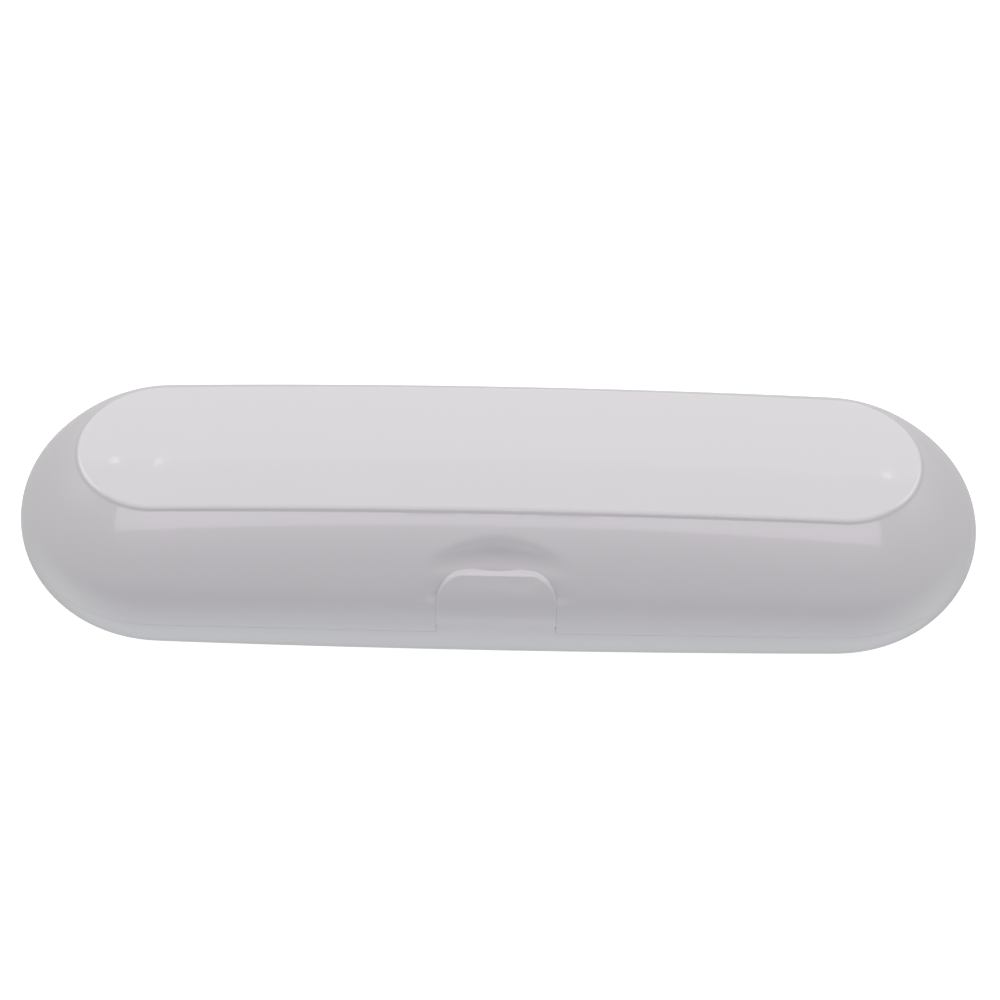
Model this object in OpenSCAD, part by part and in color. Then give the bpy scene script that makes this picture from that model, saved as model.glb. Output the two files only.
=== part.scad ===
// Travel case for an electric toothbrush: a clam shell with round ends, a raised
// panel on the lid, a pull latch in front, two pin hinges behind, and moulded
// inserts that hold the handle and two brush heads.
// Front is -Y, up is +Z. The origin is the centre of the flat underside.

/* [Case] */
// Length over the round ends
case_l = 210; // [200:1:220]
// Width over the two shells, without the hinge knuckles
case_w = 65; // [64.5:0.5:66]
// Height of the base shell, from the underside to the parting line
base_h = 17.3; // [17:0.1:17.6]
// Height of the lid at its crown, above the parting line
lid_h = 23.4; // [23.2:0.1:24]
// Wall thickness of both shells
wall = 2.2; // [2:0.1:2.4]
// Gap between the two rims at the parting line
seam_gap = 0.2; // [0.1:0.05:0.3]

/* [Lid shape] */
// Radius of the lid's shoulder, where it leaves the parting line
shoulder_r = 18; // [17:0.5:19]
// Angle that the shoulder turns through before the flatter slope begins
shoulder_a = 35; // [33:1:37]
// Radius of the slope between the shoulder and the raised panel
slope_r = 54.5; // [52:0.5:57]
// Angle at which the slope ends, under the panel's edge
slope_a = 51.7; // [51:0.1:52]
// Height of the step around the raised panel
panel_step = 1; // [0.6:0.1:1.1]

/* [Hinge] */
// Distance of the hinge axis behind the case's widest line
hinge_out = 1.9; // [1.8:0.1:2.1]
// Outer radius of the knuckles
knuckle_r = 2.4; // [2.3:0.1:2.5]
// Radius of the two hinge pins
hinge_pin_r = 1; // [0.8:0.1:1.1]
// Distance of each hinge from the middle of the case
hinge_x = 46; // [40:1:55]
// Length of one hinge over its three knuckles
hinge_w = 24; // [22:1:28]

/* [Latch] */
// Width of the pull tab
tab_w = 25.3; // [25:0.1:26]
// Height of the tab's upper edge above the parting line
tab_top = 12.8; // [12.6:0.1:12.9]
// Corner radius of the tab
tab_corner = 5; // [4:0.5:6]
// Thickness of the tab's plate
tab_t = 1.6; // [1.4:0.1:1.7]
// Gap around the tab
tab_gap = 0.25; // [0.2:0.05:0.3]
// Radius of the latch pin
latch_pin_r = 0.6; // [0.5:0.05:0.65]

/* [Inserts] */
// Radius of the handle's trough
handle_r = 14.8; // [14:0.1:14.8]
// Radius of the two brush head troughs
head_r = 7; // [6.5:0.1:7]
// Wall thickness of the inserts
insert_t = 1; // [0.8:0.1:1]

/* [Hidden] */
$fn = 96;

a = case_w / 2;               // half width
cx = case_l / 2 - a;          // centre of each round end
g = seam_gap / 2;
rb = base_h;                  // radius of the base's round side
// centre of the arc that draws the lid's slope
slope_u = a - shoulder_r + (shoulder_r - slope_r) * cos(shoulder_a);
slope_z = (shoulder_r - slope_r) * sin(shoulder_a);
// upper end of the slope, under the step
crease_u = slope_u + slope_r * cos(slope_a);
crease_z = slope_z + slope_r * sin(slope_a);
// hinge axis
hy = a + hinge_out;
clear_r = knuckle_r + 0.3;    // room around a knuckle
// latch axis, as distance in front of the middle and height above the parting line
lu = 30.1;
lz = 2.6;
barrel_r = 2.1;               // barrel at the foot of the tab
cradle_r = 2.3;               // hollow in the base that the barrel turns in
ear_x = 9.7;                  // inner face of the two ears that hold the latch pin
win_w = tab_w + 2 * tab_gap;  // window in the lid around the tab
win_top = tab_top + tab_gap;
// finger dish: a sphere that meets the lid's slope in a half moon
dish_u = 76.7;
dish_z = 42.5;
dish_r = 59.5;
dish_foot = 7.8;              // level of the dish's lower ledge
dish_t = 1.8;                 // wall behind the dish
hook_u = 24.3;                // innermost point of the tab's two hooks
hook_x = 7;                 // distance of each hook from the middle
// insert troughs
hdl_y = 9.3;                  // axis of the handle's trough
hdl_z = 1.7;
hdl_x = 78;                   // centre of each round end of that trough
hd_y = -18.2;                 // axis of the brush head troughs
hd_z = -2.5;
hd_in = 11;                   // centres of the round ends of a brush head trough
hd_out = 77;

white = [0.86, 0.85, 0.87];
insert_white = [0.92, 0.92, 0.92];
steel = [0.72, 0.73, 0.75];

// ---- helpers ----

// sweeps a half profile (distance from the middle, height) around the case
module around() {
    for (s = [-1, 1])
        translate([s * cx, 0, 0]) rotate([0, 0, -90 * s])
            rotate_extrude(angle = 180) children();
    translate([-cx, 0, 0]) rotate([90, 0, 90]) linear_extrude(2 * cx) {
        children();
        mirror([1, 0]) children();
    }
}

// extrudes a section (Y, Z) from x0 to x1
module along(x0, x1) {
    translate([x0, 0, 0]) rotate([90, 0, 90]) linear_extrude(x1 - x0) children();
}

// the same for a section drawn as (distance in front of the middle, Z)
module front(x0, x1) {
    along(x0, x1) mirror([1, 0]) children();
}

// round bar along X at (y, z)
module bar(x0, x1, y, z, r) {
    translate([x0, y, z]) rotate([0, 90, 0]) cylinder(r = r, h = x1 - x0);
}

// bar with round ends, for the troughs
module capsule(x0, x1, y, z, r) {
    bar(x0, x1, y, z, r);
    for (x = [x0, x1]) translate([x, y, z]) sphere(r = r);
}

// ---- shell profiles, half sections set in by d ----

module base_half(d) {
    intersection() {
        translate([a - rb, 0]) circle(r = rb - d);
        translate([a - rb, -rb]) square([rb, rb - g]);
    }
    translate([0, -(rb - d)]) square([a - rb, rb - d - g]);
}

module lid_half(d) {
    turn = (shoulder_r - d) * sin(shoulder_a);         // level where the shoulder ends
    top = slope_z + (slope_r - d) * sin(slope_a);      // level where the slope ends
    // middle
    translate([0, g]) square([a - shoulder_r, turn - g]);
    // shoulder
    intersection() {
        translate([a - shoulder_r, 0]) circle(r = shoulder_r - d);
        translate([a - shoulder_r, g]) square([shoulder_r, turn - g]);
    }
    // slope
    intersection() {
        translate([slope_u, slope_z]) circle(r = slope_r - d);
        translate([0, turn]) square([a, top - turn]);
    }
}

// the raised panel's crown on top of the slope
module panel_half() {
    edge = crease_z + panel_step;
    rise = lid_h - edge;
    w = crease_u - 0.25;
    r = (w * w + rise * rise) / (2 * rise);
    intersection() {
        translate([0, lid_h - r]) circle(r = r, $fn = 360);
        polygon([[0, crease_z - 1], [crease_u - 1.5, crease_z - 1], [crease_u, crease_z],
                 [crease_u - 1, crease_z + 4 * panel_step], [0, crease_z + 4 * panel_step]]);
    }
}

// ---- base ----

module base_shell() color(white) translate([0, 0, base_h]) {
    difference() {
        union() {
            difference() {
                around() {
                    difference() { base_half(0); base_half(wall); }
                    // inner rim that stands up inside the lid
                    polygon([[28.8, -1.7], [28.8, 1.1], [29.6, 1.1], [29.7, -g],
                             [30.9, -g], [30.9, -1.7]]);
                }
                // room for the lid's knuckles
                for (s = [-1, 1])
                    bar(s * hinge_x - hinge_w / 2 - 0.3, s * hinge_x + hinge_w / 2 + 0.3, hy, 0, clear_r);
            }
            for (s = [-1, 1]) hinge_leaf(s * hinge_x - 5, s * hinge_x + 5, -1);
            // raised boss under the tab, flush with the lid around it
            front(-win_w / 2 + tab_gap, win_w / 2 - tab_gap) intersection() {
                translate([0, -g]) lid_half(0);
                translate([27, -0.5]) square([6, 2.7]);
            }
            // wall behind the tab, and the floor that joins it to the rim
            intersection() {
                front(-12.4, 12.4)
                    polygon([[26.2, -1], [27.7, -1], [27.7, 6.5], [24.25, 12.5],
                             [22.8, 12.5], [26.2, 6.5]]);
                window(24.6, 12.4, tab_corner);
            }
            front(-12.4, 12.4) translate([26.2, -1.7]) square([4.7, 1.9]);
        }
        // hollow for the tab's barrel
        bar(-win_w / 2, win_w / 2, -lu, lz, cradle_r);
        // the lid's two catches pass here
        for (s = [-1, 1]) translate([s * hook_x - 2.5, -27, 9]) cube([5, 5.5, 5]);
        // hinge pins
        for (s = [-1, 1]) bar(s * hinge_x - 6, s * hinge_x + 6, hy, 0, hinge_pin_r);
    }
    // ears for the latch pin
    for (s = [-1, 1]) difference() {
        x0 = s > 0 ? ear_x : -12.4;
        front(x0, x0 + 12.4 - ear_x) {
            translate([lu, lz]) circle(r = 1.3);
            translate([27.4, lz - 1.2]) square([lu - 27.4, 1.8]);
            translate([29.3, 0.1]) square([1.3, lz - 0.1]);
        }
        bar(-14, 14, -lu, lz, latch_pin_r);
    }
}

// knuckle with its web to the shell: side -1 goes down to the base, 1 goes up to the lid
module hinge_leaf(x0, x1, side) {
    bu = a - 1.2;
    bz = 5.4;
    dist = norm([hy - bu, bz]);
    dir = atan2(bz, hy - bu) - asin(knuckle_r / dist);
    difference() {
        along(x0, x1) {
            translate([hy, 0]) circle(r = knuckle_r);
            scale([1, side]) polygon([[bu - 0.2, bz + 0.15], [hy + knuckle_r * sin(dir), knuckle_r * cos(dir)],
                     [hy, 0], [a - 0.5, g], [a - 1.4, g]]);
        }
        bar(x0 - 1, x1 + 1, hy, 0, hinge_pin_r);
    }
}

// ---- lid ----

module lid_shell() color(white) translate([0, 0, base_h]) {
    difference() {
        union() {
            difference() {
                around() {
                    difference() { union() { lid_half(0); panel_half(); } lid_half(wall); }
                    // ledge and bead that hold the liner's edge
                    polygon([[28.7, 3.3], [30.5, 3.3], [30.5, 4.9], [29.2, 4.9]]);
                    polygon([[29.5, 1.95], [30.5, 1.95], [30.5, 1.4], [30.1, 1.4]]);
                }
                for (s = [-1, 1])
                    bar(s * hinge_x - hinge_w / 2 - 0.3, s * hinge_x + hinge_w / 2 + 0.3, hy, 0, clear_r);
            }
            for (s = [-1, 1]) {
                hinge_leaf(s * hinge_x - hinge_w / 2, s * hinge_x - 5.3, 1);
                hinge_leaf(s * hinge_x + 5.3, s * hinge_x + hinge_w / 2, 1);
            }
            // wall behind the finger dish
            intersection() {
                translate([0, -dish_u, dish_z]) sphere(r = dish_r + dish_t);
                front(-18, 18) intersection() {
                    lid_half(0.4);
                    translate([17, 5.6]) square([16, 14]);
                }
            }
        }
        // window for the tab
        window(win_w, win_top, tab_corner + tab_gap);
        // finger dish with its flat lower ledge
        intersection() {
            translate([0, -dish_u, dish_z]) sphere(r = dish_r);
            translate([-20, -40, dish_foot]) cube([40, 30, 16]);
        }
        // running fit on the hinge pins
        for (s = [-1, 1]) bar(s * hinge_x - hinge_w / 2 - 1, s * hinge_x + hinge_w / 2 + 1, hy, 0, hinge_pin_r + 0.05);
    }
    // two catches under the dish, behind the tab's hooks
    for (s = [-1, 1]) difference() {
        translate([s * hook_x - 2, -(hook_u - 0.2), 9.8]) cube([4, 2.1, 3.6]);
        translate([0, -dish_u, dish_z]) sphere(r = dish_r);
    }
}

// outline of the tab with its two round corners, extruded along Y through the front wall
function corner(x, z, r, from) = [for (i = [0 : 10]) [x + r * cos(from + 9 * i), z + r * sin(from + 9 * i)]];

module window(w, top, r) {
    translate([0, -18, 0]) rotate([90, 0, 0]) linear_extrude(16)
        polygon(concat([[-w / 2, -1], [w / 2, -1]], corner(w / 2 - r, top - r, r, 0),
                       corner(-w / 2 + r, top - r, r, 90)));
}

// ---- latch ----

// point of the lid's outer line at angle t, set in by d
function lid_pt(t, d) = t <= shoulder_a
    ? [a - shoulder_r + (shoulder_r - d) * cos(t), (shoulder_r - d) * sin(t)]
    : [slope_u + (slope_r - d) * cos(t), slope_z + (slope_r - d) * sin(t)];
tab_steps = [8.5, 13, 18, 23, 28, 35, 36.5, 38, 39.5, 41, 42.5, 44];

module latch_tab() color(white) translate([0, 0, base_h]) difference() {
    union() {
        difference() {
            intersection() {
                front(-tab_w / 2, tab_w / 2)
                    polygon(concat([for (t = tab_steps) lid_pt(t, 0)],
                                   [for (i = [len(tab_steps) - 1 : -1 : 0]) lid_pt(tab_steps[i], tab_t)]));
                window(tab_w, tab_top, tab_corner);
            }
            // nail relief behind the middle of the upper edge
            translate([0, -8, 9]) cylinder(r = 18.2, h = 6);
        }
        bar(-tab_w / 2, tab_w / 2, -lu, lz, barrel_r);
        // hooks at the two upper corners
        for (s = [-1, 1]) front(s * hook_x - 1.9, s * hook_x + 1.9)
            polygon([[hook_u, 10.9], [27.2, 10.9], [26.4, 11.95], [hook_u, 11.95]]);
    }
    // room for the ears, for the spring, and the bore
    for (s = [-1, 1]) {
        x0 = s > 0 ? ear_x - 0.2 : -14;
        bar(x0, x0 + 14 - ear_x + 0.2, -lu, lz, 1.5);
        front(x0, x0 + 14 - ear_x + 0.2) {
            translate([26, 0]) square([lu - 26, 4.9]);
            translate([lu - 0.1, 0]) square([3, 2.2]);
        }
    }
    bar(-2.2, 2.2, -lu, lz, 1.55);
    front(-2.2, 2.2) translate([26, 0]) square([lu - 26, 4.9]);
    bar(-14, 14, -lu, lz, latch_pin_r + 0.05);
}

module latch_pin() color(steel) translate([0, 0, base_h])
    bar(-12.2, 12.2, -lu, lz, latch_pin_r);

module latch_spring() color(steel) translate([0, 0, base_h]) {
    difference() {
        bar(-1.8, 1.8, -lu, lz, 1.35);
        bar(-2, 2, -lu, lz, latch_pin_r + 0.15);
    }
    // leg on the tab, and leg on the base
    translate([1.3, -(lu - 1.08), lz]) rotate([-5.7, 0, 0]) cylinder(r = 0.25, h = 5.2);
    translate([-1.3, -(lu - 1.05), lz - 1.5]) cylinder(r = 0.25, h = 1.6);
}

// ---- hinge pins ----

module hinge_pin(x) color(steel) translate([0, 0, base_h])
    bar(x - hinge_w / 2 + 0.2, x + hinge_w / 2 - 0.2, hy, 0, hinge_pin_r);

module hinge_pin_left() hinge_pin(-hinge_x);
module hinge_pin_right() hinge_pin(hinge_x);

// ---- inserts ----

// the space that the handle and the heads take, set out by d
module bays(d, head_z, inner) {
    capsule(-hdl_x, hdl_x, hdl_y, hdl_z, handle_r + d);
    for (s = [-1, 1]) capsule(s > 0 ? inner : -hd_out, s > 0 ? hd_out : -inner, hd_y, head_z, head_r + d);
}

module base_tray() color(insert_white) translate([0, 0, base_h]) difference() {
    union() {
        around() translate([0, -3.1]) square([29.7, 1.2]);
        intersection() {
            bays(insert_t, hd_z, hd_in);
            translate([-100, -32, -20]) cube([200, 64, 20 - 1.9]);
        }
    }
    bays(0, hd_z, hd_in);
}

module lid_liner() color(insert_white) translate([0, 0, base_h]) difference() {
    union() {
        around() translate([0, 2.05]) square([29.7, 1.2]);
        intersection() {
            bays(insert_t, 1, hd_in + 15);
            translate([-100, -32, 2.05]) cube([200, 64, 20]);
        }
    }
    bays(0, 1, hd_in + 15);
    // room for the latch, the dish and the inner ends of the brush heads
    translate([-17.6, -34, 0]) cube([35.2, 34 - 10.8, 20]);
}

base_shell();
lid_shell();
base_tray();
lid_liner();
hinge_pin_left();
hinge_pin_right();
latch_tab();
latch_pin();
latch_spring();
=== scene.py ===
"""Looks of the toothbrush travel case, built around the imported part.
Lengths below are in mm with Z = 0 at the parting line; mm() turns them into the row frame."""

import math
import bisect
import bpy
from mathutils import Vector, Matrix


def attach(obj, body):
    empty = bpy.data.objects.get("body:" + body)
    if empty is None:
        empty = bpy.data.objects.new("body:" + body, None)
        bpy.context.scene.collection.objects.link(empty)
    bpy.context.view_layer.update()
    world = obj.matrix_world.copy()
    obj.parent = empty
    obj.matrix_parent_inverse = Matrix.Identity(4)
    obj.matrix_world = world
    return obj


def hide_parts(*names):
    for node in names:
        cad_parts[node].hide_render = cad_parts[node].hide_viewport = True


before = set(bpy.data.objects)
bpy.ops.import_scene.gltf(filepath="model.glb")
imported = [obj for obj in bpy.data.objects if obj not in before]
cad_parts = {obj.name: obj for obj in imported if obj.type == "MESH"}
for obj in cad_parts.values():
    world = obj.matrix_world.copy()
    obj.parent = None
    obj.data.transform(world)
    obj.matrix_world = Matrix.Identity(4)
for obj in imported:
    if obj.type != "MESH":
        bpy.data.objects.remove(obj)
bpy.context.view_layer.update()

# ---------------------------------------------------------------- sizes
A = 32.5            # half width
HL = 104.96         # half length
CX = HL - A         # centre of each round end
BH = 17.3           # base height
R1, T1 = 18.0, 35.0
R2, T2 = 54.5, 51.7
LH = 23.4           # lid height
WALL = 2.2
HY = 34.4           # hinge axis
KR = 2.4
SU = A - R1 + (R1 - R2) * math.cos(math.radians(T1))
SZ = (R1 - R2) * math.sin(math.radians(T1))
CU = SU + R2 * math.cos(math.radians(T2))     # crease
CZ = SZ + R2 * math.sin(math.radians(T2))
LU, LZ = 30.1, 2.6  # latch axis
TAB_W, TAB_TOP, TAB_R = 25.3, 12.8, 5.0


def mm(x, y, z):
    return Vector((x / 1000.0, y / 1000.0, (z + BH) / 1000.0))


def bow(x, y, z):
    """The shells are a little fuller in the middle than at the ends."""
    f = max(0.0, 1.0 - (x / 73.5) ** 2)
    y2 = y * (1 + 0.0115 * f) / 1.0115
    k = 0.074 if z > 0 else 0.068
    return x, y2, z * (1 + k * f) / (1 + k)


LIP = 0.0


def lip(z):
    """How far the lid stands inside the base at the parting line (flush)."""
    return LIP * (1 - smooth(z, 0.0, 3.5))


def lid_u(z, d=0.0):
    """Distance of the lid's outer line from the middle at height z, set in by d."""
    zt = (R1 - d) * math.sin(math.radians(T1))
    if z <= zt:
        return A - R1 + math.sqrt(max(0.0, (R1 - d) ** 2 - z * z)) - (lip(z) if d == 0 else 0.0)
    return SU + math.sqrt(max(0.0, (R2 - d) ** 2 - (z - SZ) ** 2))


def lid_pt(t, d=0.0):
    r = math.radians(t)
    if t <= T1:
        z = (R1 - d) * math.sin(r)
        return A - R1 + (R1 - d) * math.cos(r) - (lip(z) if d == 0 else 0.0), z
    return SU + (R2 - d) * math.cos(r), SZ + (R2 - d) * math.sin(r)


def smooth(x, a, b):
    t = min(1.0, max(0.0, (x - a) / (b - a)))
    return t * t * (3 - 2 * t)


# ---------------------------------------------------------------- materials

def nodes_of(mat):
    mat.use_nodes = True
    nt = mat.node_tree
    return nt, nt.nodes["Principled BSDF"]


def plastic(name, col, rough, ior, peel, grain, coat=0.0, speck=0.0):
    """Moulded plastic: slight flow variation in the colour, fine skin in bump and roughness, worn edges."""
    mat = bpy.data.materials.new(name)
    nt, p = nodes_of(mat)
    N, L = nt.nodes, nt.links
    tc = N.new("ShaderNodeTexCoord")
    big = N.new("ShaderNodeTexNoise")
    big.inputs["Scale"].default_value = 14.0
    big.inputs["Detail"].default_value = 3.0
    L.new(tc.outputs["Object"], big.inputs["Vector"])
    ramp = N.new("ShaderNodeValToRGB")
    ramp.color_ramp.elements[0].position = 0.15
    ramp.color_ramp.elements[0].color = tuple(c * 0.992 for c in col) + (1,)
    ramp.color_ramp.elements[1].position = 0.85
    ramp.color_ramp.elements[1].color = tuple(min(1, c * 1.008) for c in col) + (1,)
    L.new(big.outputs["Fac"], ramp.inputs["Fac"])
    geo = N.new("ShaderNodeNewGeometry")
    edge = N.new("ShaderNodeMapRange")
    edge.inputs["From Min"].default_value = 0.53
    edge.inputs["From Max"].default_value = 0.62
    L.new(geo.outputs["Pointiness"], edge.inputs["Value"])
    wear = N.new("ShaderNodeMix")
    wear.data_type = "RGBA"
    wear.inputs["B"].default_value = tuple(min(1, c * 1.05) for c in col) + (1,)
    L.new(ramp.outputs["Color"], wear.inputs["A"])
    half = N.new("ShaderNodeMath")
    half.operation = "MULTIPLY"
    half.inputs[1].default_value = 0.6
    L.new(edge.outputs["Result"], half.inputs[0])
    L.new(half.outputs["Value"], wear.inputs["Factor"])
    L.new(wear.outputs["Result"], p.inputs["Base Color"])
    # roughness: handling marks as soft patches, a touch duller on edges
    patch = N.new("ShaderNodeTexNoise")
    patch.inputs["Scale"].default_value = 55.0
    patch.inputs["Detail"].default_value = 2.0
    L.new(tc.outputs["Object"], patch.inputs["Vector"])
    rr = N.new("ShaderNodeMapRange")
    rr.inputs["From Min"].default_value = 0.2
    rr.inputs["From Max"].default_value = 0.85
    rr.inputs["To Min"].default_value = rough - 0.04
    rr.inputs["To Max"].default_value = rough + 0.06
    L.new(patch.outputs["Fac"], rr.inputs["Value"])
    add = N.new("ShaderNodeMath")
    add.operation = "MULTIPLY_ADD"
    add.inputs[1].default_value = 0.12
    L.new(edge.outputs["Result"], add.inputs[0])
    L.new(rr.outputs["Result"], add.inputs[2])
    L.new(add.outputs["Value"], p.inputs["Roughness"])
    # bump: long moulding ripple, then the fine skin
    skin = N.new("ShaderNodeTexNoise")
    skin.inputs["Scale"].default_value = grain
    skin.inputs["Detail"].default_value = 4.0
    L.new(tc.outputs["Object"], skin.inputs["Vector"])
    b1 = N.new("ShaderNodeBump")
    b1.inputs["Strength"].default_value = peel
    b1.inputs["Distance"].default_value = 0.00008
    L.new(skin.outputs["Fac"], b1.inputs["Height"])
    wave = N.new("ShaderNodeTexNoise")
    wave.inputs["Scale"].default_value = 26.0
    wave.inputs["Detail"].default_value = 1.0
    L.new(tc.outputs["Object"], wave.inputs["Vector"])
    b2 = N.new("ShaderNodeBump")
    b2.inputs["Strength"].default_value = 0.12
    b2.inputs["Distance"].default_value = 0.0004
    L.new(wave.outputs["Fac"], b2.inputs["Height"])
    L.new(b1.outputs["Normal"], b2.inputs["Normal"])
    L.new(b2.outputs["Normal"], p.inputs["Normal"])
    p.inputs["IOR"].default_value = ior
    p.inputs["Coat Weight"].default_value = coat
    p.inputs["Coat Roughness"].default_value = 0.05
    p.inputs["Subsurface Weight"].default_value = 0.0
    return mat


def steel(name):
    mat = bpy.data.materials.new(name)
    nt, p = nodes_of(mat)
    N, L = nt.nodes, nt.links
    tc = N.new("ShaderNodeTexCoord")
    mp = N.new("ShaderNodeMapping")
    mp.inputs["Scale"].default_value = (40.0, 2600.0, 2600.0)
    L.new(tc.outputs["Object"], mp.inputs["Vector"])
    n = N.new("ShaderNodeTexNoise")
    n.inputs["Scale"].default_value = 1.0
    n.inputs["Detail"].default_value = 5.0
    L.new(mp.outputs["Vector"], n.inputs["Vector"])
    ramp = N.new("ShaderNodeValToRGB")
    ramp.color_ramp.elements[0].color = (0.42, 0.42, 0.43, 1)
    ramp.color_ramp.elements[1].color = (0.68, 0.68, 0.70, 1)
    L.new(n.outputs["Fac"], ramp.inputs["Fac"])
    L.new(ramp.outputs["Color"], p.inputs["Base Color"])
    rr = N.new("ShaderNodeMapRange")
    rr.inputs["To Min"].default_value = 0.22
    rr.inputs["To Max"].default_value = 0.42
    L.new(n.outputs["Fac"], rr.inputs["Value"])
    L.new(rr.outputs["Result"], p.inputs["Roughness"])
    b = N.new("ShaderNodeBump")
    b.inputs["Strength"].default_value = 0.25
    b.inputs["Distance"].default_value = 0.00004
    L.new(n.outputs["Fac"], b.inputs["Height"])
    L.new(b.outputs["Normal"], p.inputs["Normal"])
    p.inputs["Metallic"].default_value = 1.0
    return mat


SHELL = plastic("shell_gloss_white", (0.686, 0.678, 0.692), 0.36, 1.46, 0.06, 1800.0, coat=0.6)
INSERT = plastic("insert_matt_white", (0.70, 0.70, 0.705), 0.58, 1.45, 0.55, 1500.0)
STEEL = steel("pin_drawn_steel")


# ---------------------------------------------------------------- mesh helpers

def make(name, verts, faces, body, mat, flip=False):
    me = bpy.data.meshes.new(name)
    if flip:
        faces = [tuple(reversed(f)) for f in faces]
    me.from_pydata([tuple(v) for v in verts], [], faces)
    me.update()
    o = bpy.data.objects.new(name, me)
    bpy.context.scene.collection.objects.link(o)
    me.materials.append(mat)
    for p in me.polygons:
        p.use_smooth = True
    w = o.modifiers.new("even_normals", "WEIGHTED_NORMAL")
    w.mode = "FACE_AREA"
    w.weight = 60
    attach(o, body)
    return o


class Net:
    """Collects vertices and quads; vertices at the same place are shared."""

    def __init__(self):
        self.v, self.f, self.key = [], [], {}

    def add(self, p):
        k = (round(p[0] * 1e7), round(p[1] * 1e7), round(p[2] * 1e7))
        i = self.key.get(k)
        if i is None:
            i = self.key[k] = len(self.v)
            self.v.append(p)
        return i

    def quad(self, a, b, c, d):
        q = []
        for i in (a, b, c, d):
            if i not in q:
                q.append(i)
        if len(q) > 2:
            self.f.append(tuple(q))

    def grid(self, rows, closed=False):
        """rows: list of lists of points; joins neighbours."""
        ids = [[self.add(p) for p in r] for r in rows]
        self.grid_ids(ids, closed)
        return ids

    def grid_ids(self, ids, closed=False):
        for r0, r1 in zip(ids, ids[1:]):
            n = len(r0)
            for i in range(n if closed else n - 1):
                j = (i + 1) % n
                self.quad(r0[i], r0[j], r1[j], r1[i])


def arc_pts(cu, cz, r, a0, a1, n):
    return [(cu + r * math.cos(math.radians(a0 + (a1 - a0) * i / n)),
             cz + r * math.sin(math.radians(a0 + (a1 - a0) * i / n))) for i in range(n + 1)]


def pad(path, n):
    """Splits the longest segments of a path until it has n points."""
    path = list(path)
    while len(path) < n:
        k = max(range(len(path) - 1), key=lambda i: math.dist(path[i], path[i + 1]))
        p, q = path[k], path[k + 1]
        path.insert(k + 1, ((p[0] + q[0]) / 2, (p[1] + q[1]) / 2))
    return path


# columns around the case: (kind, value)
def columns():
    xs = set()
    n = 96
    for i in range(n + 1):
        xs.add(round(-CX + 2 * CX * i / n, 4))
    front = set(x for x in xs if abs(x) > 24.6)
    for i in range(97):
        front.add(round(-24 + 0.5 * i, 4))
    for x in (12.6, 12.62, 4.5, 4.52, 9.48, 9.5, 12.3):
        front |= {x, -x}
    back = set(xs)
    for hx in (-46, 46):
        for e in (-12.35, -12.3, 12.3, 12.35):
            back.add(round(hx + e, 4))
    cols = [("F", x) for x in sorted(front)]
    m = 72
    cols += [("R", -90 + 180 * i / m) for i in range(1, m)]
    cols += [("B", x) for x in sorted(back, reverse=True)]
    cols += [("L", 90 + 180 * i / m) for i in range(1, m)]
    return cols


COLS = columns()


def place(col, u, z, warp=True):
    kind, c = col
    if kind == "F":
        x, y = c, -u
    elif kind == "B":
        x, y = c, u
    elif kind == "R":
        x, y = CX + u * math.cos(math.radians(c)), u * math.sin(math.radians(c))
    else:
        x, y = -CX + u * math.cos(math.radians(c)), u * math.sin(math.radians(c))
    if warp:
        x, y, z = bow(x, y, z)
    return mm(x, y, z)


def groove(col, u, z):
    """Room for the knuckles in the back wall."""
    if col[0] == "B" and abs(z) < 2.69 and min(abs(col[1] - 46), abs(col[1] + 46)) <= 12.31 and u > 31:
        return min(u, HY - math.sqrt(2.7 ** 2 - z * z))
    return u


# ---------------------------------------------------------------- finger dish and window

DISH_TOP = 18.4


def build_ub():
    tab, u, s = [], 22.3, 0.0
    ds = 0.05
    while s < 14:
        tab.append(u)
        if s < 1.5:
            k = 0.15
        elif s < 5.35:
            k = 0.15 + (s - 1.5) / 3.85
        elif s < 7:
            k = 1.15 - (s - 5.35) / 1.65 * 0.55
        else:
            k = 0.55
        u += k * ds
        s += ds
    return tab


UB = build_ub()


def dish_u(x, z):
    s = DISH_TOP - z
    if s < 0:
        ub = 22.3 + 0.15 * s
    else:
        i = min(len(UB) - 2, int(s / 0.05))
        f = s / 0.05 - i
        ub = UB[i] * (1 - f) + UB[i + 1] * f
    return ub + x * x / (2 * (30 + 2 * max(0.0, s)))


def smin(a, b, k):
    h = max(0.0, k - abs(a - b)) / k
    return min(a, b) - h * h * k * 0.25


def lid_face(x, z):
    """Outer surface of the lid's front: distance from the middle, with the dish."""
    u = lid_u(z)
    if z > 7.4 and abs(x) < 19:
        d = smin(u, dish_u(x, z), 0.9)
        m = smooth(z, 7.3, 9.0)
        u = u * (1 - m) + d * m
    return u


def back_face(x, z):
    """Inner surface of the lid's front, with the wall behind the dish."""
    u = lid_u(z, WALL)
    if 5.6 < z < 19.6 and abs(x) < 18:
        q = 61.3 ** 2 - x * x - (z - 42.5) ** 2
        if q > 0:
            u = min(u, 76.7 - math.sqrt(q))
    return u


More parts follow.
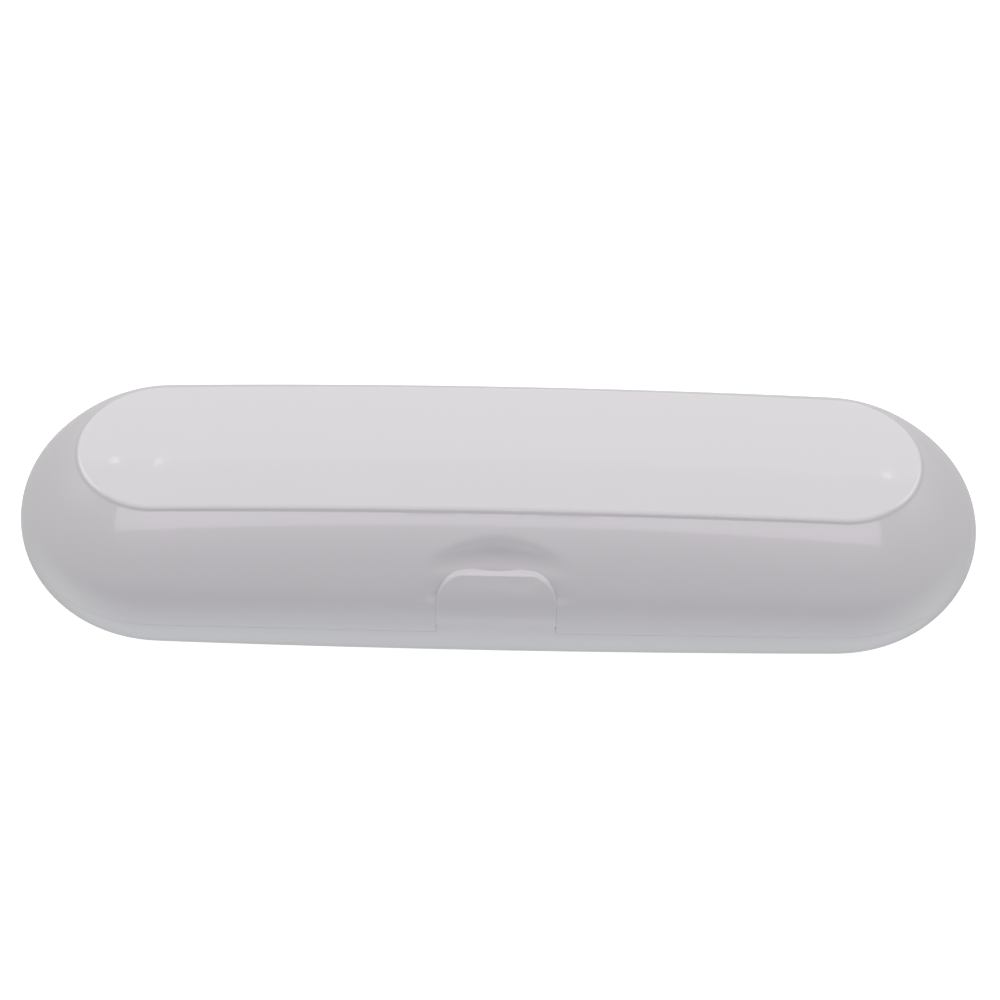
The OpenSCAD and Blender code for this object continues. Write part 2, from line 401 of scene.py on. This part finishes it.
def outline(hw, top, r, z0, n, dip=0.0):
    """Window outline from the lower left corner up and over to the lower right, n points."""
    raw = [(-hw, z0), (-hw, top - r)]
    raw += [(-hw + r - r * math.cos(math.radians(a)), top - r + r * math.sin(math.radians(a))) for a in range(3, 91, 3)]
    raw += [(-hw + r + (2 * hw - 2 * r) * i / 40, top) for i in range(1, 41)]
    raw += [(hw - r + r * math.sin(math.radians(a)), top - r + r * math.cos(math.radians(a))) for a in range(3, 91, 3)]
    raw += [(hw, z0)]
    acc = [0.0]
    for p, q in zip(raw, raw[1:]):
        acc.append(acc[-1] + math.dist(p, q))
    out = []
    for k in n:
        s = k * acc[-1]
        i = min(len(raw) - 2, max(0, bisect.bisect_right(acc, s) - 1))
        f = (s - acc[i]) / max(1e-9, acc[i + 1] - acc[i])
        x = raw[i][0] * (1 - f) + raw[i + 1][0] * f
        z = raw[i][1] * (1 - f) + raw[i + 1][1] * f
        if dip and z > top - 0.2:
            z -= dip * (1 - smooth(abs(x), 4.6, 6.8))
        out.append((x, z))
    return out


# ---------------------------------------------------------------- lid

GV = 0.002          # half of the seam
ER = 0.10           # edge rounding at the lid's rim
Z0 = GV + ER


def lid_rows():
    """Outer half profile from the rim to the middle, and the indices of the first row and the crease."""
    rim = [(30.3, GV), (A - 0.6, GV)] + arc_pts(A - LIP - ER, Z0, ER, -90, 0, 5)[:-1]
    t0 = math.degrees(math.asin(Z0 / R1))
    body = [lid_pt(t0)]
    n1 = 34
    for i in range(1, n1 + 1):
        body.append(lid_pt(t0 + (T1 - t0) * i / n1))
    n2 = 34
    for i in range(1, n2 + 1):
        body.append(lid_pt(T1 + (T2 - T1) * i / n2))
    rc = (CU - 0.25) ** 2
    rise = LH - (CZ + 1.0)
    cr = (rc + rise * rise) / (2 * rise)

    def crown(u):
        return LH - cr + math.sqrt(cr * cr - u * u)
    er = 1.5
    step = [(CU - 0.08, CZ + 0.08), (CU - 0.2, CZ + 0.25)]
    ux = CU - 0.33
    uc, zc = ux - er * math.cos(math.radians(38)), crown(ux - 1.1) - er * math.sin(math.radians(86.3))
    step += [p for p in arc_pts(uc, zc, er, 38, 86.3, 12)]
    top = [(u, crown(u)) for u in (16.9, 16.2, 15.2, 14, 12.5, 11, 9.5, 8, 6.5, 5, 3.5, 2, 1, 0)]
    ja = len(rim)
    jb = ja + len(body) - 1
    return rim + body + step + top, ja, jb


def lid_inner_rows():
    """Inner half profile from the rim to the middle."""
    t0 = math.degrees(math.asin(Z0 / R1))
    body = [(30.3, GV)]
    pts = [lid_pt(t0, WALL)]
    n1, n2 = 34, 34
    for i in range(1, n1 + 1):
        pts.append(lid_pt(t0 + (T1 - t0) * i / n1, WALL))
    for i in range(1, n2 + 1):
        pts.append(lid_pt(T1 + (T2 - T1) * i / n2, WALL))
    zt = pts[-1][1]
    top = [(u, zt) for u in (15.5, 13, 10, 7, 4, 2, 0)]
    return body + pts + top, 1, len(pts)


def patched_skin(net, rows, ja, jb, face, hw, top, r, d, warp, dip):
    """Sweeps rows around the case and sets the window into the front. Returns the loop of the window."""
    ids = []
    for j, (u, z) in enumerate(rows):
        line = []
        for c in COLS:
            if c[0] == "F" and abs(c[1]) < 23.99 and j <= jb:
                if j < jb:
                    line.append(None)
                    continue
            uu = groove(c, u, z) if d == 0 else u
            line.append(net.add(place(c, uu, z, warp)))
        ids.append(line)
    n = len(COLS)
    for r0, r1 in zip(ids, ids[1:]):
        for i in range(n):
            k = (i + 1) % n
            if None in (r0[i], r0[k], r1[i], r1[k]):
                continue
            net.quad(r0[i], r0[k], r1[k], r1[i])
    il = next(i for i, c in enumerate(COLS) if c[0] == "F" and abs(c[1] + 24) < 1e-3)
    ir = next(i for i, c in enumerate(COLS) if c[0] == "F" and abs(c[1] - 24) < 1e-3)
    outer = [(-24.0, rows[j][1], ids[j][il]) for j in range(ja, jb + 1)]
    outer += [(COLS[i][1], rows[jb][1], ids[jb][i]) for i in range(il + 1, ir)]
    outer += [(24.0, rows[j][1], ids[j][ir]) for j in range(jb, ja - 1, -1)]
    acc = [0.0]
    for p, q in zip(outer, outer[1:]):
        acc.append(acc[-1] + math.dist(p[:2], q[:2]))
    inner = outline(hw, top, r, rows[ja][1], [a / acc[-1] for a in acc], dip)
    RN = 58
    g = [(math.exp(3.4 * q / RN) - 1) / (math.exp(3.4) - 1) for q in range(RN + 1)]
    loops = []
    for q in range(RN):
        line = []
        for (ix, iz), (ox, oz, _) in zip(inner, outer):
            x = ix + (ox - ix) * g[q]
            z = iz + (oz - iz) * g[q]
            u = face(x, z)
            if d == 0:
                dist = g[q] * math.dist((ix, iz), (ox, oz))
                e = 0.06
                if dist < e:
                    u -= e - math.sqrt(e * e - (e - dist) ** 2)
            line.append(net.add(place(("F", x), u, z, warp)))
        loops.append(line)
    loops.append([o[2] for o in outer])
    for r0, r1 in zip(loops, loops[1:]):
        for i in range(len(r0) - 1):
            net.quad(r0[i], r0[i + 1], r1[i + 1], r1[i])
    # rim under the patch, left and right of the window
    for side in (0, -1):
        xs = [inner[side][0] + (outer[side][0] - inner[side][0]) * g[q] for q in range(RN)]
        strip = []
        for j in range(ja):
            line = [net.add(place(("F", x), rows[j][0], rows[j][1], warp)) for x in xs] + [ids[j][il if side == 0 else ir] or
                    net.add(place(("F", -24.0 if side == 0 else 24.0), rows[j][0], rows[j][1], warp))]
            strip.append(line)
        strip.append([lp[side] for lp in loops])
        for r0, r1 in zip(strip, strip[1:]):
            for i in range(len(r0) - 1):
                if side == 0:
                    net.quad(r0[i + 1], r0[i], r1[i], r1[i + 1])
                else:
                    net.quad(r0[i], r0[i + 1], r1[i + 1], r1[i])
    return loops[0], inner


def build_lid():
    net = Net()
    rows, ja, jb = lid_rows()
    hw, top, r = TAB_W / 2 + 0.004, TAB_TOP + 0.01, TAB_R + 0.004
    lo, pts = patched_skin(net, rows, ja, jb, lid_face, hw, top, r, 0, True, 0.62)
    inn = Net()
    rows2, ja2, jb2 = lid_inner_rows()
    li, _ = patched_skin(inn, rows2, ja2, jb2, back_face, hw, top, r, 1, False, 0.62)
    off = len(net.v)
    net.v += inn.v
    net.f += [tuple(off + i for i in reversed(f)) for f in inn.f]
    # wall of the window
    li = [off + i for i in li]
    for i in range(len(lo) - 1):
        net.quad(lo[i + 1], lo[i], li[i], li[i + 1])
    o = make("lid_shell_skin", net.v, net.f, "lid", SHELL)
    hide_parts("lid_shell")
    return o


def strip(name, poly, body, gap, mat, slot):
    """Closed section swept around the case, left open over |x| < gap in front."""
    net = Net()
    lines = []
    cols = [c for c in COLS]
    k = next(i for i, c in enumerate(cols) if c[0] == "F" and c[1] >= gap)
    cols = cols[k:] + cols[:k]
    cols = [c for c in cols if not (c[0] == "F" and abs(c[1]) < gap - 1e-6)]
    for c in cols:
        lines.append([place(c, u, z, False) for u, z in poly])
    ids = net.grid(lines, closed=True)
    net.f.append(tuple(reversed(ids[0])))
    net.f.append(tuple(ids[-1]))
    return make(name, net.v, net.f, body, mat)


# ---------------------------------------------------------------- base

def wall_top(x):
    x = abs(x)
    if 4.51 < x < 9.49:
        return 9.0
    if x <= 7.3:
        return 12.4
    return 7.4 + math.sqrt(max(0.0, 25 - (x - 7.3) ** 2))


def base_rows(col):
    """Half profile of the base for a column: from the middle of the underside over the rim to the middle inside."""
    rb = BH
    er = 0.04
    zr = -GV - er
    low = [(u, -rb) for u in (0, 3, 6, 9, 11, 12.5, 13.6, 14.5)]
    arc = arc_pts(A - rb, 0, rb, -90, math.degrees(-math.asin(-zr / rb)), 44)
    normal = arc_pts(A - er, zr, er, 0, 90, 6)[1:] + [(31.6, -GV), (30.6, -GV), (29.8, -GV)]
    normal += [(29.68, 0.1), (29.62, 0.8)] + arc_pts(29.4, 0.88, 0.22, 0, 90, 3) + arc_pts(29.02, 0.88, 0.22, 90, 180, 3)
    normal += [(28.8, 0.4), (28.8, -1.7), (30.1, -1.7)]
    n = 64
    if col[0] == "F" and abs(col[1]) <= 12.61:
        wt = wall_top(col[1])
        b = [lid_pt(t) for t in (0.6, 1.5, 2.6, 3.8, 5.0, 6.0)]
        u, z = lid_pt(6.4)
        b += arc_pts(u - 0.02, z, 0.02, 5, 88, 4)
        b += arc_pts(LU, LZ, 2.3, -16.5, -160, 14)
        b += [(27.75, 2.6), (27.7, 6.5)]
        f = [(27.7 - (z - 6.5) / 5.9 * 3.45 if z > 6.5 else 27.7, z) for z in (7.2, 8, 8.8, 9.8, 10.8, 11.8, 12.4)]
        g = [(26.2 - (z - 6.5) / 5.9 * 3.4 if z > 6.5 else 26.2, z) for z in (12.4, 11.4, 10.4, 9.4, 8.4, 7.4, 6.5)]

        def cut(u, z, k):
            if z <= wt:
                return u, z
            return (k + (u - k) if False else (27.7 - (wt - 6.5) / 5.9 * 3.45 if k else 26.2 - (wt - 6.5) / 5.9 * 3.4), wt)
        b += [cut(u, z, 1) for u, z in f] + [cut(u, z, 0) for u, z in g]
        b += [(26.2, 2.0), (26.2, -1.7), (30.1, -1.7)]
        normal = b
    normal = pad_n(normal, n)
    inner = arc_pts(A - rb, 0, rb - WALL, math.degrees(-math.asin(1.75 / (rb - WALL))), -90, 24)
    inner += [(u, -(rb - WALL)) for u in (13, 10, 6, 3, 0)]
    return low + arc, normal, inner


def pad_n(path, n):
    while len(path) > n:
        raise ValueError("path too long: %d" % len(path))
    return pad(path, n)


def build_base():
    net = Net()
    lines = []
    for c in COLS:
        a1, a2, a3 = base_rows(c)
        line = [net.add(place(c, groove(c, u, z), z)) for u, z in a1]
        line += [net.add(place(c, groove(c, u, z), z, z < 0 and u > 30.5)) for u, z in a2]
        line += [net.add(place(c, u, z, False)) for u, z in a3]
        lines.append(line)
    lines.append(lines[0])
    net.grid_ids(lines)
    o = make("base_shell_skin", net.v, net.f, "base", SHELL, flip=True)
    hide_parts("base_shell")
    return o


# ---------------------------------------------------------------- hinge knuckles

def knuckle(name, x0, x1, side, body):
    """One knuckle: tangent web to its shell, bored end faces and rounded edges."""
    bu, bz = A - 1.2, 5.4
    dist = math.hypot(HY - bu, bz)
    direc = math.atan2(bz, HY - bu) - math.asin(KR / dist)
    ta = 90 - math.degrees(direc)
    out = []
    n = 44
    for i in range(n + 1):
        a = math.radians(ta + (-190 - ta) * i / n)
        out.append((HY + KR * math.cos(a), KR * math.sin(a)))
    out += [(31.3, 0.9), (31.0, 2.5), (31.0, 4.2), (31.05, 5.55)]
    tx, tz = HY + KR * math.cos(math.radians(ta)), KR * math.sin(math.radians(ta))
    for f in (0.25, 0.5, 0.75):
        out.append((31.05 + (tx - 31.05) * f, 5.55 + (tz - 5.55) * f))
    out = [(y, z * side) for y, z in out]
    br = 1.05 if side > 0 else 1.0
    net = Net()
    e = 0.28

    def ring(x, inset, rad=None):
        pts = []
        for y, z in out:
            dy, dz = y - HY, z
            L = math.hypot(dy, dz)
            k = rad / L if rad is not None else (L - inset) / L
            pts.append(mm(x, HY + dy * k, dz * k))
        return pts
    s = 1 if x1 > x0 else -1
    rings = [ring(x0 + 1.2, 0, br), ring(x0 + 0.12, 0, br), ring(x0, 0, br + 0.12), ring(x0, e), ring(x0 + e * 0.3, e * 0.3), ring(x0 + e, 0)]
    m = 6
    rings += [ring(x0 + e + (x1 - x0 - 2 * e) * i / m, 0) for i in range(1, m)]
    rings += [ring(x1 - e, 0), ring(x1 - e * 0.3, e * 0.3), ring(x1, e), ring(x1, 0, br + 0.12), ring(x1 - 0.12, 0, br), ring(x1 - 1.2, 0, br)]
    net.grid(rings, closed=True)
    return make(name, net.v, net.f, body, SHELL, flip=(side < 0))


# ---------------------------------------------------------------- latch

def slab(net, loop, front, back, rf, rb_):
    """Plate between two surfaces over a closed outline (x, z), with rounded front and back edges."""
    n = len(loop)
    nx = []
    for i in range(n):
        x0, z0 = loop[i - 1]
        x1, z1 = loop[(i + 1) % n]
        dx, dz = x1 - x0, z1 - z0
        L = math.hypot(dx, dz) or 1
        nx.append((dz / L, -dx / L))
    area = sum(loop[i][0] * loop[(i + 1) % n][1] - loop[(i + 1) % n][0] * loop[i][1] for i in range(n))
    sg = 1 if area > 0 else -1       # outward normal is (dz, -dx) on a counter-clockwise loop
    cx = sum(p[0] for p in loop) / n
    cz = sum(p[1] for p in loop) / n
    cz = (min(p[1] for p in loop) + max(p[1] for p in loop)) / 2

    zb = min(p[1] for p in loop)

    def ring(inset, fn, drop, scale=1.0):
        pts = []
        for (x, z), (ax, az) in zip(loop, nx):
            # widest at the upper corners, slimmer along the sides and the top, nearly sharp below
            k = 0.03 + 0.57 * smooth(z, zb + 0.1, zb + 2.5) + 0.4 * smooth(z, 6.8, 8.6)
            k -= 0.8 * (1 - smooth(abs(x), 6.8, 11.0)) * smooth(z, 9.5, 12.5)
            x2, z2 = x - sg * ax * inset * k, z - sg * az * inset * k
            x2, z2 = cx + (x2 - cx) * scale, cz + (z2 - cz) * scale
            dk = max(drop * k, -proud(x2, z2) - 0.01) if drop < 0 else drop * k
            pts.append(mm(x2, -(fn(x2, z2) + dk), z2))
        return pts
    rings = []
    for k in [i / 22 for i in range(22)]:
        rings.append(ring(rf, front, 0, k))
    for a in (90, 75, 60, 45, 30, 15, 0):
        s, c = math.sin(math.radians(a)), math.cos(math.radians(a))
        rings.append(ring(rf * (1 - c), front, -rf * (1 - s)))
    for a in (0, 30, 60, 90):
        s, c = math.sin(math.radians(a)), math.cos(math.radians(a))
        rings.append(ring(rb_ * (1 - c), back, rb_ * (1 - s)))
    for k in [i / 12 for i in range(11, -1, -1)]:
        rings.append(ring(rb_, back, 0, k))
    net.grid(rings, closed=True)


def tab_loop():
    hw, top, r, z0 = TAB_W / 2, TAB_TOP, TAB_R, 2.008
    rb_ = 0.35
    loop = []
    for i in range(30):
        x = -hw + rb_ + (2 * hw - 2 * rb_) * i / 30
        loop.append((x, z0 - 0.004 * (x / hw) ** 2))
    loop += [(hw - rb_ + rb_ * math.sin(math.radians(a)), z0 + rb_ - rb_ * math.cos(math.radians(a))) for a in (0, 30, 60, 90)]
    for i in range(1, 14):
        loop.append((hw, z0 + rb_ + (top - r - z0 - rb_) * i / 14))
    loop += [(hw - r + r * math.cos(math.radians(a)), top - r + r * math.sin(math.radians(a))) for a in range(0, 90, 3)]
    for i in range(60):
        loop.append((hw - r - (2 * hw - 2 * r) * i / 60, top))
    loop += [(-hw + r - r * math.sin(math.radians(a)), top - r + r * math.cos(math.radians(a))) for a in range(0, 90, 3)]
    for i in range(14):
        loop.append((-hw, top - r - (top - r - z0 - rb_) * i / 14))
    loop += [(-hw + rb_ - rb_ * math.cos(math.radians(a)), z0 + rb_ - rb_ * math.sin(math.radians(a))) for a in (0, 30, 60)]
    return loop


def proud(x, z):
    return 0.26 * smooth(z, 2.0, 5.0) * (1 - 0.75 * smooth(z, 9.5, 12.6) * (1 - smooth(abs(x), 7.0, 10.5)))


def tab_front(x, z):
    return lid_u(z) + proud(x, z)


def tab_back(x, z):
    u = lid_u(z, 1.6)
    if z > 9:
        q = 18.2 ** 2 - x * x
        if q > 0:
            u = max(u, 8 + math.sqrt(q))
    return u


def build_latch():
    net = Net()
    slab(net, tab_loop(), tab_front, tab_back, 0.5, 0.12)
    o = make("latch_tab_plate", net.v, net.f, "latch", SHELL, flip=False)
    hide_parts("latch_tab")
    # barrel that turns on the pin
    for nm, x0, x1 in (("latch_barrel_left", -9.4, -2.3), ("latch_barrel_right", 2.3, 9.4)):
        net = Net()
        rings = []
        e = 0.2
        for x, r in ((x0 + 0.8, 0.66), (x0, 0.66), (x0, 2.1 - e), (x0 + 0.3 * e, 2.1 - 0.3 * e), (x0 + e, 2.1), ((x0 + x1) / 2, 2.1),
                     (x1 - e, 2.1), (x1 - 0.3 * e, 2.1 - 0.3 * e), (x1, 2.1 - e), (x1, 0.66), (x1 - 0.8, 0.66)):
            rings.append([mm(x, -LU + r * math.cos(math.radians(a)), LZ + r * math.sin(math.radians(a))) for a in range(0, 360, 9)])
        net.grid(rings, closed=True)
        make(nm, net.v, net.f, "latch", SHELL)
    # hooks
    for nm, s in (("latch_hook_left", -1), ("latch_hook_right", 1)):
        hook(nm, s)


def prism(name, poly, x0, x1, e, body):
    """Section (u, z) between x0 and x1 with small chamfers all round."""
    net = Net()
    cu = sum(p[0] for p in poly) / len(poly)
    cz = sum(p[1] for p in poly) / len(poly)

    def ring(x, k):
        pts = []
        for u, z in poly:
            L = math.hypot(u - cu, z - cz)
            f = (L - k) / L
            pts.append(mm(x, -(cu + (u - cu) * f), cz + (z - cz) * f))
        return pts
    rings = [[mm(x0, -cu, cz)] * len(poly), ring(x0, e), ring(x0 + 0.3 * e, 0.3 * e), ring(x0 + e, 0), ring(x1 - e, 0),
             ring(x1 - 0.3 * e, 0.3 * e), ring(x1, e), [mm(x1, -cu, cz)] * len(poly)]
    net.grid(rings, closed=True)
    return make(name, net.v, net.f, body, SHELL)


def hook(name, s):
    x0, x1 = sorted((s * 7.0 - 1.9, s * 7.0 + 1.9))
    poly = [(24.35, 10.95), (25.2, 10.9), (27.1, 10.9), (26.9, 11.3), (26.4, 11.85), (25.4, 11.95), (24.6, 11.93), (24.33, 11.8), (24.3, 11.4)]
    prism(name, poly, x0, x1, 0.15, "latch")


def catch(name, s):
    x0, x1 = sorted((s * 7.0 - 2.0, s * 7.0 + 2.0))
    poly = [(22.05, 10.2), (22.4, 9.85), (23.6, 9.8), (24.05, 10.0), (24.1, 10.6), (24.1, 12.0), (24.3, 13.2), (23.4, 13.5), (22.3, 13.5), (22.0, 12.6)]
    prism(name, poly, x0, x1, 0.15, "lid")


build_base()
build_lid()
strip("lid_ledge", [(28.75, 3.32), (30.3, 3.32), (30.3, 4.85), (29.2, 4.85)], "lid", 18.0, SHELL, "shell")
strip("lid_bead", [(29.5, 1.92), (30.5, 1.92), (30.5, 1.45), (30.1, 1.4)], "lid", 18.0, SHELL, "shell")
for nm, hx in (("left", -46.0), ("right", 46.0)):
    knuckle("base_knuckle_" + nm, hx - 5, hx + 5, -1, "base")
    knuckle("lid_knuckle_%s_a" % nm, hx - 12, hx - 5.3, 1, "lid")
    knuckle("lid_knuckle_%s_b" % nm, hx + 5.3, hx + 12, 1, "lid")
build_latch()
catch("lid_catch_left", -1)
catch("lid_catch_right", 1)

for n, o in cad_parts.items():
    o.data.materials.clear()
    o.data.materials.append(STEEL if "pin" in n or "spring" in n else (INSERT if n in ("base_tray", "lid_liner") else SHELL))

# ---------------------------------------------------------------- floor, light, camera

fm = bpy.data.materials.new("floor_paper")
nt, p = nodes_of(fm)
tcf = nt.nodes.new("ShaderNodeTexCoord")
nf = nt.nodes.new("ShaderNodeTexNoise")
nf.inputs["Scale"].default_value = 300.0
nt.links.new(tcf.outputs["Object"], nf.inputs["Vector"])
bf = nt.nodes.new("ShaderNodeBump")
bf.inputs["Strength"].default_value = 0.1
bf.inputs["Distance"].default_value = 0.0001
nt.links.new(nf.outputs["Fac"], bf.inputs["Height"])
nt.links.new(bf.outputs["Normal"], p.inputs["Normal"])
p.inputs["Base Color"].default_value = (0.36, 0.36, 0.36, 1)
p.inputs["Roughness"].default_value = 0.95
p.inputs["Specular IOR Level"].default_value = 0.1
p.inputs["Emission Color"].default_value = (1, 1, 1, 1)
p.inputs["Emission Strength"].default_value = 0.86

me = bpy.data.meshes.new("floor")
S = 3.0
me.from_pydata([(-S, -S, 0), (S, -S, 0), (S, S, 0), (-S, S, 0)], [], [(0, 1, 2, 3)])
floor = bpy.data.objects.new("floor", me)
bpy.context.scene.collection.objects.link(floor)
me.materials.append(fm)
floor.visible_glossy = False
floor.visible_diffuse = False      # the white of the floor does not flood the underside

# pale surround behind the floor's edge, seen by the eye only, so that low views end in the same white
sm = bpy.data.materials.new("surround_paper")
nt, p = nodes_of(sm)
p.inputs["Base Color"].default_value = (0.3, 0.3, 0.3, 1)
p.inputs["Roughness"].default_value = 1.0
p.inputs["Specular IOR Level"].default_value = 0.0
p.inputs["Emission Color"].default_value = (1, 1, 1, 1)
p.inputs["Emission Strength"].default_value = 0.9
sv, sf = [], []
for j in range(13):
    e = math.radians(-10 + 100 * j / 12)
    for i in range(48):
        a = math.radians(7.5 * i)
        sv.append((2.9 * math.cos(e) * math.cos(a), 2.9 * math.cos(e) * math.sin(a), 2.9 * math.sin(e)))
for j in range(12):
    for i in range(48):
        k = (i + 1) % 48
        sf.append((48 * j + i, 48 * j + k, 48 * j + 48 + k, 48 * j + 48 + i))
me = bpy.data.meshes.new("surround")
me.from_pydata(sv, [], sf)
me.materials.append(sm)
surround = bpy.data.objects.new("surround", me)
bpy.context.scene.collection.objects.link(surround)
surround.visible_diffuse = False
surround.visible_glossy = False
surround.visible_transmission = False
surround.visible_volume_scatter = False
surround.visible_shadow = False

world = bpy.data.worlds.new("studio")
bpy.context.scene.world = world
world.use_nodes = True
bg = world.node_tree.nodes["Background"]
bg.inputs["Strength"].default_value = 1.0
# dim room above, pale ground glow below
WN, WL = world.node_tree.nodes, world.node_tree.links
wc = WN.new("ShaderNodeTexCoord")
wx = WN.new("ShaderNodeSeparateXYZ")
wr = WN.new("ShaderNodeMapRange")
wm = WN.new("ShaderNodeValToRGB")
wr.inputs["From Min"].default_value = -1.0
wr.inputs["From Max"].default_value = 0.0
WL.new(wc.outputs["Generated"], wx.inputs["Vector"])
WL.new(wx.outputs["Z"], wr.inputs["Value"])
WL.new(wr.outputs["Result"], wm.inputs["Fac"])
wy = WN.new("ShaderNodeMapRange")
wy.inputs["From Min"].default_value = -0.25
wy.inputs["From Max"].default_value = 0.3
WL.new(wx.outputs["Y"], wy.inputs["Value"])
wb = WN.new("ShaderNodeValToRGB")          # behind the case the ground is dimmer
WL.new(wr.outputs["Result"], wb.inputs["Fac"])
wmix = WN.new("ShaderNodeMix")
wmix.data_type = "RGBA"
WL.new(wy.outputs["Result"], wmix.inputs["Factor"])
WL.new(wm.outputs["Color"], wmix.inputs["A"])
WL.new(wb.outputs["Color"], wmix.inputs["B"])
WL.new(wmix.outputs["Result"], bg.inputs["Color"])
wb.color_ramp.elements[0].color = (0.52, 0.51, 0.52, 1)
wb.color_ramp.elements[1].color = (0.235, 0.225, 0.238, 1)
wb.color_ramp.elements.new(0.4).color = (0.62, 0.61, 0.62, 1)
wm.color_ramp.elements[0].color = (0.86, 0.88, 0.885, 1)
wm.color_ramp.elements[1].color = (0.235, 0.225, 0.238, 1)
for pos, v in ((0.12, 1.15), (0.36, 1.32), (0.66, 0.98), (0.9, 0.34)):
    wm.color_ramp.elements.new(pos).color = (v * 0.96, v, v * 1.01, 1)


def area(name, loc, target, sx, sy, radiance, color=(1, 1, 1)):
    li = bpy.data.lights.new(name, "AREA")
    li.shape = "RECTANGLE"
    li.size, li.size_y = sx, sy
    li.energy = radiance * math.pi * sx * sy
    li.color = color
    o = bpy.data.objects.new(name, li)
    o.location = loc
    d = Vector(target) - Vector(loc)
    o.rotation_euler = d.to_track_quat("-Z", "Y").to_euler()
    bpy.context.scene.collection.objects.link(o)
    return o


# overhead soft box, a little behind the case
area("overhead", (0.0, 0.05, 1.40), (0, 0, 0), 1.9, 1.3, 0.87, (1.0, 0.950, 1.010))
# pale card behind, up to the height that the crown mirrors
area("rear_card", (0.0, 1.55, 0.92), (0, 0, 0.92), 3.2, 1.82, 0.72, (1.0, 0.950, 1.010))
# card over the front, mirrored below the crease
area("front_card", (0.0, -0.84, 1.30), (0, 0, 0), 2.4, 0.4, 2.15, (1.0, 0.945, 1.008))
# side cards for the round ends
for sx_ in (-1, 1):
    area("side_card_" + ("right" if sx_ > 0 else "left"), (sx_ * 1.08, 0.45, 1.0), (0, 0, 0.03), 0.9, 0.7, 2.6, (0.975, 1.03, 0.92))
    lamp = area("spark_" + ("right" if sx_ > 0 else "left"), (sx_ * 0.385, 0.928, 1.109), (sx_ * 0.085, 0, 0.04), 0.02, 0.02, 4.5)

D, ELEV, YAW, ROLL, SPX = 0.5158, math.radians(48.703), math.radians(-0.259), math.radians(0.905), 4.5311
CPX, CPY = 498.37, 517.47
r = Vector((math.cos(YAW), -math.sin(YAW), 0))
h = Vector((math.sin(YAW), math.cos(YAW), 0))
U = math.sin(ELEV) * h + math.cos(ELEV) * Vector((0, 0, 1))
F = math.cos(ELEV) * h - math.sin(ELEV) * Vector((0, 0, 1))
right = r * math.cos(ROLL) + U * math.sin(ROLL)
up = U * math.cos(ROLL) - r * math.sin(ROLL)
cam = bpy.data.cameras.new("photo_camera")
cam.sensor_width = 36.0
cam.lens = SPX * D * 1000.0 / 1000.0 * 36.0
cam.shift_x = (500 - CPX) / 1000.0
cam.shift_y = (CPY - 500) / 1000.0
cam.clip_start = 0.01
cam.clip_end = 20
co = bpy.data.objects.new("photo_camera", cam)
loc = mm(0, 0, 0) - F * D
m = Matrix((right, up, -F)).transposed().to_4x4()
m.translation = loc
co.matrix_world = m
bpy.context.scene.collection.objects.link(co)
bpy.context.scene.camera = co

sc = bpy.context.scene
sc.view_settings.view_transform = "Standard"
sc.view_settings.look = "None"
sc.view_settings.exposure = 0.0
sc.view_settings.gamma = 1.0
